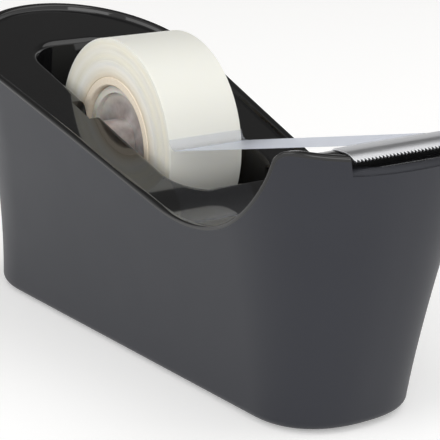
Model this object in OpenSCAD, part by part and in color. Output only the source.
// Weighted desk dispenser for a roll of adhesive tape.
// A flared outer shell carries a glossy S-curved deck with a round well. The roll turns on a
// hub whose axle drops into two leaning slots, and its free end crosses the dip to the cutter.
// Origin: centre of the bounding box, on the table. +X points to the cutter, +Z up.

/* [Body] */
// Length over the tail and the nose
body_len = 151; // [146:1:170]
// Width of the shell where it meets the table
base_w = 34.8; // [33:0.2:44]
// How far each side wall flares out at flare_z
flare = 11.5; // [8:0.5:15]
// Height at which the flare is measured
flare_z = 60; // [54:1:70]
// Power of the flare curve: 1 is a straight wall, 2 a parabola
flare_pow = 1.7; // [1.3:0.1:2.2]
// Wall of the outer shell
shell_wall = 2.2; // [1.6:0.1:2.8]
// Height of the shell's lower edge above the table
shell_foot = 0.8; // [0.4:0.1:1.2]
// Rounding of the shell's lower edge
foot_round = 1.8; // [1:0.2:2.4]

/* [Nose and tail] */
// Reach of the rounded nose beyond its centre, at the table
nose_reach = 16; // [14:0.5:20]
// Forward lean of the nose, per millimetre of height
nose_lean = 0.252; // [0.2:0.01:0.28]
// Squareness of the nose outline: 2 is an ellipse
nose_square = 2.4; // [2:0.1:3]
// Reach of the rounded tail behind its centre, at the table
tail_reach = 22; // [20:0.5:26]
// Growth of the tail's reach, per millimetre of height
tail_grow = 0.216; // [0.18:0.01:0.24]
// Forward lean of the tail, per millimetre of height
tail_lean = 0.05; // [0:0.01:0.08]

/* [Rim line, seen from the side] */
// Slope of the straight rear stretch, degrees
rear_slope = 16.9; // [12:0.1:20]
// Distance of the lowest point of the dip behind the nose
dip_back = 45.15; // [42.5:0.05:47.5]
// Height of the lowest point of the dip
dip_z = 39; // [37:0.5:42]
// Radius of the dip
dip_r = 36.5; // [35:0.5:38]
// Steepest slope between the dip and the crest, degrees
rise_slope = 61; // [58:0.5:63]
// Radius of the crest behind the cutter
crest_r = 5; // [4.5:0.1:6]
// Fall of the nose top towards the front, degrees
nose_fall = 8; // [4:0.5:10]

/* [Deck] */
// Width of the glossy band between the matte shell and the top of the rim, square to the rim
lip_h = 0.9; // [0.7:0.1:1.1]
// Depth of the deck surface below the rim
lip_drop = 1.15; // [0.8:0.05:1.3]
// Thickness of the deck plate and of the well walls
deck_t = 1.8; // [1.4:0.1:2.2]
// Width of the lip on top of the rim
lip_w = 1.8; // [1.4:0.1:2.2]

/* [Tape] */
// Width of the tape
tape_w = 19.05; // [15:0.05:20]
// Outer diameter of the wound roll
roll_d = 46.9; // [34:0.1:60]
// Inner diameter of the cardboard core
core_d = 25.4; // [24:0.1:27]
// Wall of the core
core_wall = 2; // [1:0.1:2.4]
// Modelled thickness of the free strip (the real film is about 0.05)
strip_t = 0.25; // [0.2:0.05:0.4]

/* [Well and axle] */
// Distance of the roll's axis in front of the tail
roll_ahead = 56.85; // [54.5:0.05:58.5]
// Height of the roll's axis above the table
roll_z = 44.3; // [43:0.1:46]
// Radius of the well's round floor
well_r = 34.8; // [33:0.2:35.6]
// Half width of the well
well_half = 13.1; // [12.4:0.1:13.6]
// Rounding of the well's corners, seen from above
well_corner = 9; // [6:0.5:11]
// Diameter of the axle
axle_d = 6.5; // [5:0.1:7.5]
// Depth of each axle slot beyond the well wall
slot_depth = 3.2; // [2.6:0.1:3.6]
// Backward lean of the slots, degrees
slot_lean = 20; // [14:1:24]
// Clearance between the axle and its slot, on each side
slot_gap = 0.1; // [0.05:0.01:0.2]
// Running clearance between the axle and the hub, on radius
hub_gap = 0.05; // [0.02:0.01:0.1]
// Wall of the hub drum
hub_wall = 1.6; // [1.2:0.1:2]
// Length of the hub drum
hub_len = 16; // [12:0.5:18]
// Depth of the hub's end faces inside the drum
hub_dish = 1.2; // [0.6:0.1:2]
// Radius of the hub's boss
boss_r = 5; // [4.6:0.1:6]

/* [Cutter] */
// Width of the blade
blade_w = 26.4; // [22:0.1:27]
// Length of the blade's flat top, from the crest to the bend
blade_flat = 3.3; // [2.6:0.1:3.6]
// Radius of the bend in front of the flat top
blade_bend = 4; // [3:0.2:4.4]
// Angle of the bend, degrees
blade_fall = 34; // [26:1:38]
// Depth of the flange that is folded down behind the flat top
flange_depth = 2.2; // [1.6:0.1:2.6]
// Thickness of the blade's sheet
blade_t = 0.4; // [0.3:0.05:0.5]
// Distance between teeth
tooth_pitch = 0.85; // [0.8:0.05:1.2]
// Depth of the teeth
tooth_depth = 0.7; // [0.4:0.1:1]
// Plain strip between the bend and the teeth
tooth_root = 0.4; // [0.2:0.1:0.6]
// Step from the deck's crest down to the top of the blade
blade_step = 0.2; // [0.1:0.05:0.4]
// Distance of the cutter's opening behind the top of the crest
opening_back = 1.4; // [1:0.1:1.8]
// Width of the finger recess under the teeth, at its floor
recess_w = 28.4; // [27.6:0.2:31]
// Lean of the recess's two ends, degrees
recess_lean = 16; // [8:1:20]
// Height of the finger recess's floor
recess_z = 55.6; // [55:0.1:56]
// Thickness of the ledge that carries the cutter
ledge_t = 2.2; // [1.8:0.1:2.6]

/* [Underside] */
// Thickness of the base plate
plate_t = 2.5; // [2:0.1:3]
// Thickness of the foam pad
pad_t = 1.5; // [1.2:0.1:2]
// Distance of the pad's edge from the shell's outer face
pad_inset = 4.6; // [3.6:0.1:7]
// Diameter of the screw shanks
screw_d = 3; // [2.5:0.1:3.5]
// Diameter of the screw heads
head_d = 5.6; // [5:0.1:6]
// Thickness of the screw heads
head_t = 1.2; // [1:0.1:1.4]
// Length of the screw shanks
screw_len = 9; // [7:0.5:11]
// Radius of the screw bosses
screw_boss_r = 3.2; // [2.8:0.1:3.5]
// Half the distance between the screws of a pair
screw_y = 7.8; // [7:0.1:8.4]
// Distance of the front pair of screws behind the nose
screw_back = 24.5; // [23.5:0.5:26.5]
// Distance of the rear pair of screws in front of the tail
screw_ahead = 11.5; // [10.5:0.5:12.5]

/* [Clearances] */
// Gap between parts that are pushed together
fit_gap = 0.15; // [0.05:0.05:0.25]
// Gap between the strip and what it passes
strip_gap = 0.3; // [0.2:0.05:0.4]
// Gap under the inner half of the lip, so that it sits on the shell's outer edge
lip_seat = 0.5; // [0.3:0.1:0.6]
// Gap between the cutter's ends and the deck's opening
cutter_gap = 0.5; // [0.2:0.1:0.6]
// Gap between pieces that rest on each other
seat_gap = 0.02; // [0.01:0.01:0.05]
// Gap round the ballast
ballast_gap = 0.6; // [0.4:0.1:1]

/* [Hidden] */
$fn = 96;
tall = 90;
wide = 100;

// The dip, the crest and the cutter keep their distance to the nose, the roll to the tail
dip_x = body_len / 2 - dip_back;
roll_x = roll_ahead - body_len / 2;

// ---- Rim line: straight rear slope, round dip, round crest, falling nose ----
dip_cz = dip_z + dip_r;
crest_x = dip_x + (dip_r + crest_r) * sin(rise_slope);
crest_cz = dip_cz - (dip_r + crest_r) * cos(rise_slope);

// Height of the rim line at x, or of the line that runs "under" below it, square to the curve
function line_z(x, under = 0) =
    let (big = dip_r + under, small = crest_r - under,
         x_tangent = dip_x - big * sin(rear_slope),
         x_rise = dip_x + big * sin(rise_slope),
         x_nose = crest_x + small * sin(nose_fall))
    x < x_tangent ? dip_cz - big * cos(rear_slope) + tan(rear_slope) * (x_tangent - x)
    : x < x_rise ? dip_cz - sqrt(big * big - pow(x - dip_x, 2))
    : x < x_nose ? crest_cz + sqrt(max(0, small * small - pow(x - crest_x, 2)))
    : crest_cz + small * cos(nose_fall) - tan(nose_fall) * (x - x_nose);

// The same line as points, from behind the tail to beyond the nose
function line_points(under) =
    let (big = dip_r + under, small = crest_r - under, far = body_len / 2 + 8)
    concat([[-far, line_z(-far, under)]],
           [for (a = [-rear_slope : 3.9 : rise_slope - 1])
               [dip_x + big * sin(a), dip_cz - big * cos(a)]],
           [for (a = [rise_slope : -6 : -nose_fall + 1])
               [crest_x - small * sin(a), crest_cz + small * cos(a)]],
           [[far, line_z(far, under)]]);

function reversed(list) = [for (i = [len(list) - 1 : -1 : 0]) list[i]];

// ---- Body outline in plan, at height z, drawn "inset" inside the outer face ----
NOSE_STEPS = 28;
SIDE_STEPS = 16;
TAIL_STEPS = 24;
RING = NOSE_STEPS + TAIL_STEPS + 2 * SIDE_STEPS;

// The nose reaches furthest at the recess floor, and the tail where the foot's rounding ends
nose_c = body_len / 2 - nose_reach - nose_lean * recess_z;
foot_top = shell_foot + foot_round;

function half_w(z) = base_w / 2 + flare * pow(max(z, 0) / flare_z, flare_pow);
function nose_a(z) = nose_reach + nose_lean * z;
function tail_a(z) = tail_reach + tail_grow * z;
function tail_c(z) = -body_len / 2 + tail_lean * (z - foot_top) + tail_a(z);
function bulge(v, square) = sign(v) * pow(abs(v), 2 / square);

function nose_point(a, z, inset) =
    [nose_c + (nose_a(z) - inset) * bulge(cos(a), nose_square),
     (half_w(z) - inset) * bulge(sin(a), nose_square)];
function tail_point(a, z, inset) =
    [tail_c(z) - (tail_a(z) - inset) * cos(a), (half_w(z) - inset) * sin(a)];
function side_point(part, side, z, inset) =
    [nose_c + (tail_c(z) - nose_c) * part, side * (half_w(z) - inset)];

function plan_point(i, z, inset) =
    i <= NOSE_STEPS ? nose_point(-90 + 180 * i / NOSE_STEPS, z, inset)
    : i < NOSE_STEPS + SIDE_STEPS ? side_point((i - NOSE_STEPS) / SIDE_STEPS, 1, z, inset)
    : i <= NOSE_STEPS + SIDE_STEPS + TAIL_STEPS
        ? tail_point(90 - 180 * (i - NOSE_STEPS - SIDE_STEPS) / TAIL_STEPS, z, inset)
    : side_point((RING - i) / SIDE_STEPS, -1, z, inset);

function plan(z, inset) = [for (i = [0 : RING - 1]) plan_point(i, z, inset)];

// Point i of the outline where it meets the line "under" below the rim, found step by step
function on_line(i, inset, under, z = 50, left = 16) =
    left == 0 ? concat(plan_point(i, z, inset), z)
    : on_line(i, inset, under, line_z(plan_point(i, z, inset)[0], under), left - 1);

function at(i, z, inset) = concat(plan_point(i, z, inset), z);
rim_ring = [for (i = [0 : RING - 1]) on_line(i, 0, 0)];

// A closed tube whose cross-section at station i is the list sections[i]
module ring_solid(sections) {
    n = len(sections);
    m = len(sections[0]);
    polyhedron(
        points = [for (s = sections) for (p = s) p],
        faces = [for (i = [0 : n - 1]) for (j = [0 : m - 1])
            let (a = i * m + j, b = ((i + 1) % n) * m + j,
                 c = ((i + 1) % n) * m + (j + 1) % m, d = i * m + (j + 1) % m)
            for (f = [[a, c, b], [a, d, c]]) f],
        convexity = 8);
}

// Upright prism with the outline that the body has at height z, between two heights
module body_prism(inset, z, z_low, z_high) {
    translate([0, 0, z_low]) linear_extrude(z_high - z_low) polygon(plan(z, inset));
}

// Extrudes a side-view outline (x, z) across the body, centred on the middle plane
module across(width) {
    rotate([90, 0, 0]) linear_extrude(width, center = true) children();
}

// ---- Outer shell ----
shell_seam = [for (i = [0 : RING - 1]) on_line(i, 0, lip_h)[2]];
lip_under = lip_drop + deck_t * 0.8;
FOOT_STEPS = 3;
OUT_STEPS = 7;
IN_STEPS = 4;

// The wall's top slopes down inwards, and the lip sits on it
function shell_section(i) =
    let (seam = shell_seam[i], top = on_line(i, shell_wall, lip_under + lip_seat)[2])
    concat(
        [for (k = [0 : FOOT_STEPS]) let (a = 90 * k / FOOT_STEPS)
            at(i, foot_top - foot_round * cos(a), foot_round * (1 - sin(a)))],
        [for (k = [1 : OUT_STEPS]) at(i, foot_top + (seam - foot_top) * k / OUT_STEPS, 0)],
        [for (k = [IN_STEPS : -1 : 0])
            at(i, shell_foot + (top - shell_foot) * k / IN_STEPS, shell_wall)]);

plate_z = pad_t;
plate_top = plate_z + plate_t;
boss_top = plate_top + screw_len + 1.5;
SCREWS = [for (x = [body_len / 2 - screw_back, screw_ahead - body_len / 2]) for (s = [-1, 1])
    [x, s * screw_y]];
opening_x = crest_x - opening_back;
blade_top = crest_cz + crest_r - lip_drop - blade_step;
flange_x = opening_x + fit_gap;
carrier_x = flange_x + blade_t + fit_gap;
bend_x = flange_x + blade_flat;
carrier_front = bend_x - fit_gap;
cutter_half = blade_w / 2 + cutter_gap;
// Points on the blade's upper face, at an angle of the bend, and beyond the bend
function on_bend(a, up = 0) = [bend_x + (blade_bend + up) * sin(a),
    blade_top - blade_bend + (blade_bend + up) * cos(a)];
function past_bend(reach, up = 0) =
    on_bend(blade_fall, up) + reach * [cos(blade_fall), -sin(blade_fall)];

module screw_holes(d, low, high) {
    for (p = SCREWS) translate([p[0], p[1], low]) cylinder(d = d, h = high - low);
}

module recess_cut() {
    top = 12;
    half_top = recess_w / 2 + top * tan(recess_lean);
    translate([carrier_front, 0, recess_z]) rotate([90, 0, 90]) linear_extrude(20)
        polygon([[-recess_w / 2, 0], [recess_w / 2, 0], [half_top, top], [-half_top, top]]);
}

module housing() {
    color([0.33, 0.34, 0.36]) difference() {
        union() {
            ring_solid([for (i = [0 : RING - 1]) shell_section(i)]);
            // Screw bosses, each held to the wall by a rib
            translate([0, 0, plate_top]) linear_extrude(boss_top - plate_top)
                for (p = SCREWS) translate(p) circle(screw_boss_r);
            intersection() {
                body_prism(shell_wall * 0.3, plate_top, plate_top, boss_top);
                for (p = SCREWS) translate([p[0] - 1, min(p[1], sign(p[1]) * 30), plate_top])
                    cube([2, 30 - screw_y, boss_top - plate_top - 1]);
            }
            // Ledge that carries the cutter and floors the finger recess
            intersection() {
                body_prism(shell_wall / 3, recess_z - ledge_t, recess_z - ledge_t, recess_z);
                translate([flange_x, fit_gap - recess_w / 2, recess_z - ledge_t - 1])
                    cube([40, recess_w - 2 * fit_gap, ledge_t + 2]);
            }
        }
        recess_cut();
        screw_holes(screw_d + 2 * hub_gap, plate_top - 1, plate_top + screw_len + 0.5);
    }
}

// ---- Glossy deck with its lip, well and axle slots ----
liner_inset = shell_wall + fit_gap;
well_wall_r = well_r + deck_t;

function lip_section(i) =
    let (edge = lip_h * 0.6, keyed = liner_inset + 1.7)
    [for (p = concat(
        [[0, lip_h]],
        [for (a = [0 : 22.5 : 90]) [edge * (1 - cos(a)), edge * (1 - sin(a))]],
        [[lip_w - edge * 0.5, 0], [lip_w, edge * 0.5], [lip_w + 0.35, lip_drop],
         [keyed, lip_drop + deck_t * 0.3], [keyed, lip_under], [liner_inset, lip_under]]))
        on_line(i, p[0], p[1])];

module well_plan(extra = 0) {
    half_l = well_r + extra;
    half_y = well_half + extra;
    r = well_corner + extra;
    square([2 * (half_l - r), 2 * half_y], center = true);
    square([2 * half_l, 2 * (half_y - r)], center = true);
    for (sx = [-1, 1]) for (sy = [-1, 1])
        translate([sx * (half_l - r), sy * (half_y - r)]) circle(r);
}

// Upright well with a half-round floor about the roll's axis
module well_form(extra = 0) {
    intersection() {
        translate([roll_x, 0, 0]) linear_extrude(tall) well_plan(extra);
        union() {
            translate([roll_x, 0, roll_z]) rotate([90, 0, 0])
                cylinder(r = well_r + extra, h = 60, center = true, $fn = 180);
            translate([roll_x - 50, -30, roll_z]) cube([100, 60, tall]);
        }
    }
}

// Space swept by the axle as it is lifted out, "extra" wider and "reach" long on each side
module slot_form(extra, reach, up) {
    translate([roll_x, 0, roll_z]) rotate([0, -slot_lean, 0]) union() {
        rotate([90, 0, 0]) cylinder(r = axle_d / 2 + extra, h = 2 * reach, center = true);
        translate([-axle_d / 2 - extra, -reach, 0]) cube([axle_d + 2 * extra, 2 * reach, up]);
    }
}

module deck_liner() {
    color([0.10, 0.10, 0.11]) difference() {
        union() {
            ring_solid([for (i = [0 : RING - 1]) lip_section(i)]);
            intersection() {
                linear_extrude(tall) polygon([for (i = [0 : RING - 1])
                    let (p = on_line(i, liner_inset + 0.1, lip_drop + deck_t)) [p[0], p[1]]]);
                across(wide) polygon(concat(line_points(lip_drop),
                                           reversed(line_points(lip_drop + deck_t))));
            }
            // Well and slot walls, cut off at the deck
            intersection() {
                union() {
                    well_form(deck_t);
                    slot_form(slot_gap + deck_t, well_half + slot_depth + deck_t, tall);
                }
                across(wide) polygon(concat(line_points(lip_drop + deck_t / 2),
                    [[body_len / 2 + 8, 0], [-body_len / 2 - 8, 0]]));
            }
        }
        well_form();
        slot_form(slot_gap, well_half + slot_depth, tall);
        // Opening for the cutter, and the finger recess
        translate([opening_x, -cutter_half, recess_z - ledge_t - 1])
            cube([carrier_front - opening_x + 1, 2 * cutter_half, 30]);
        recess_cut();
    }
}

// ---- Cutter ----
module blade_carrier() {
    color([0.08, 0.08, 0.09])
        translate([carrier_x, fit_gap - cutter_half, recess_z])
            cube([carrier_front - carrier_x, 2 * (cutter_half - fit_gap),
                  blade_top - blade_t - seat_gap - recess_z]);
}

module cutter_blade() {
    teeth = floor(blade_w / tooth_pitch);
    half = teeth * tooth_pitch / 2;
    tip = tooth_root + tooth_depth;
    steps = 12;
    bend = [for (k = [0 : steps]) k * blade_fall / steps];
    end = past_bend(0);
    color([0.75, 0.76, 0.77]) difference() {
        // The sheet, folded in one piece, longer than the teeth by one tooth
        across(2 * half) polygon(concat(
            [[flange_x, blade_top]],
            [for (a = bend) on_bend(a)],
            [past_bend(tip + tooth_depth), past_bend(tip + tooth_depth, -blade_t)],
            [for (k = [0 : steps]) on_bend(bend[steps - k], -blade_t)],
            [[flange_x + blade_t, blade_top - blade_t],
             [flange_x + blade_t, blade_top - flange_depth],
             [flange_x, blade_top - flange_depth]]));
        // What is cut away in front of the teeth and between them
        translate([end[0], 0, end[1]]) rotate([0, blade_fall, 0])
            linear_extrude(4 * blade_t, center = true) polygon(concat(
                [[tooth_root, -half - tooth_pitch], [tooth_root, -half]],
                [for (k = [0 : teeth - 1]) for (p = [[tooth_depth, 0.5], [0, 1]])
                    [tooth_root + p[0], -half + (k + p[1]) * tooth_pitch]],
                [[tooth_root, half + tooth_pitch], [2 * tip, half + tooth_pitch],
                 [2 * tip, -half - tooth_pitch]]));
    }
}

// ---- Underside ----
module base_plate() {
    color([0.12, 0.12, 0.13]) difference() {
        translate([0, 0, plate_z]) linear_extrude(plate_t)
            polygon(plan(plate_z, shell_wall + fit_gap));
        screw_holes(screw_d + 2 * hub_gap, 0, 10);
        screw_holes(head_d + 2 * fit_gap, 0, plate_z + head_t + 0.1);
    }
}

module base_screws() {
    color([0.6, 0.6, 0.62]) for (p = SCREWS) translate([p[0], p[1], plate_z + 0.1]) {
        cylinder(d = head_d, h = head_t);
        cylinder(d = screw_d, h = head_t + screw_len);
    }
}

module foot_pad() {
    color([0.2, 0.2, 0.2]) linear_extrude(pad_t) polygon(plan(0, pad_inset));
}

// Space left for ballast between the plate and a given height, clear of the leaning walls
module ballast_space(top) {
    inset = shell_wall + ballast_gap;
    intersection() {
        body_prism(inset, plate_top, plate_top + 0.3, top);
        body_prism(inset, top, plate_top, top + 1);
    }
}

module boss_clearance() {
    for (p = SCREWS) {
        translate([p[0], p[1], 0]) cylinder(r = screw_boss_r + ballast_gap, h = boss_top + 1);
        translate([p[0] - 1 - ballast_gap, min(p[1], sign(p[1]) * 40), 0])
            cube([2 + 2 * ballast_gap, 40 - screw_y, boss_top + 1]);
    }
}

module ballast_front() {
    start = roll_x + well_wall_r + 2;
    color([0.55, 0.53, 0.5]) difference() {
        intersection() {
            ballast_space(dip_z - lip_drop - deck_t - 2);
            translate([start, -wide / 2, 0]) cube([body_len, wide, tall]);
        }
        boss_clearance();
    }
}

module ballast_rear() {
    color([0.55, 0.53, 0.5]) difference() {
        intersection() {
            ballast_space(roll_z + 8);
            translate([-body_len, -wide / 2, 0])
                cube([body_len + roll_x - well_wall_r - 1, wide, tall]);
        }
        boss_clearance();
    }
}

// ---- Roll, hub and axle ----
module round_y(r, length) {
    rotate([90, 0, 0]) cylinder(r = r, h = length, center = true);
}

module at_roll() {
    translate([roll_x, 0, roll_z]) children();
}

module spindle_axle() {
    color([0.7, 0.7, 0.72]) at_roll() round_y(axle_d / 2, 2 * (well_half + slot_depth - 0.3));
}

hub_r = core_d / 2 - fit_gap;

module hub_wheel() {
    face = hub_len / 2 - hub_dish;
    color([0.62, 0.62, 0.64]) at_roll() difference() {
        union() {
            round_y(hub_r, hub_len);
            round_y(boss_r, 2 * (well_half - 0.6));
        }
        round_y(axle_d / 2 + hub_gap, 60);
        for (s = [-1, 1]) translate([0, s * (face + 10), 0]) difference() {
            round_y(hub_r - hub_wall, 20);
            round_y(boss_r, 30);
        }
    }
}

module tape_core() {
    color([0.80, 0.72, 0.58]) at_roll() difference() {
        round_y(core_d / 2 + core_wall, tape_w);
        round_y(core_d / 2, tape_w + 2);
    }
}

module tape_roll() {
    color([0.93, 0.93, 0.90]) at_roll() difference() {
        round_y(roll_d / 2, tape_w);
        round_y(core_d / 2 + core_wall, tape_w + 2);
    }
}

// Free end: lies along the roll's front, turns over a small bend, runs up to the crest and
// lies on the blade, down to just behind the teeth
peel_z = 2.7;
peel_r = 2;
strip_in = roll_d / 2 + strip_gap;
peel_x = sqrt(strip_in * strip_in - peel_z * peel_z);
bend = [roll_x + peel_x + peel_r, roll_z + peel_z + peel_r];
strip_lay = 0.1;
over = [opening_x - 0.2, crest_cz + crest_r - lip_drop + strip_lay];
strip_rise = atan2(over[1] - bend[1] + peel_r, over[0] - bend[0]);

function strip_side(up) = concat(
    [for (a = [16 : -2 : 12])
        [roll_x + (strip_in + up) * cos(a), roll_z + (strip_in + up) * sin(a)]],
    [for (a = [180 : 15 : 270 + strip_rise]) bend + (peel_r - up) * [cos(a), sin(a)]],
    [over + [0, up]],
    [for (k = [0 : 4]) on_bend(k * blade_fall / 4, strip_lay + up)],
    [past_bend(tooth_root, strip_lay + up)]);

module tape_strip() {
    color([0.80, 0.84, 0.88, 0.8]) across(tape_w)
        polygon(concat(strip_side(0), reversed(strip_side(strip_t))));
}

housing();
deck_liner();
blade_carrier();
cutter_blade();
base_plate();
base_screws();
foot_pad();
ballast_front();
ballast_rear();
spindle_axle();
hub_wheel();
tape_core();
tape_roll();
tape_strip();
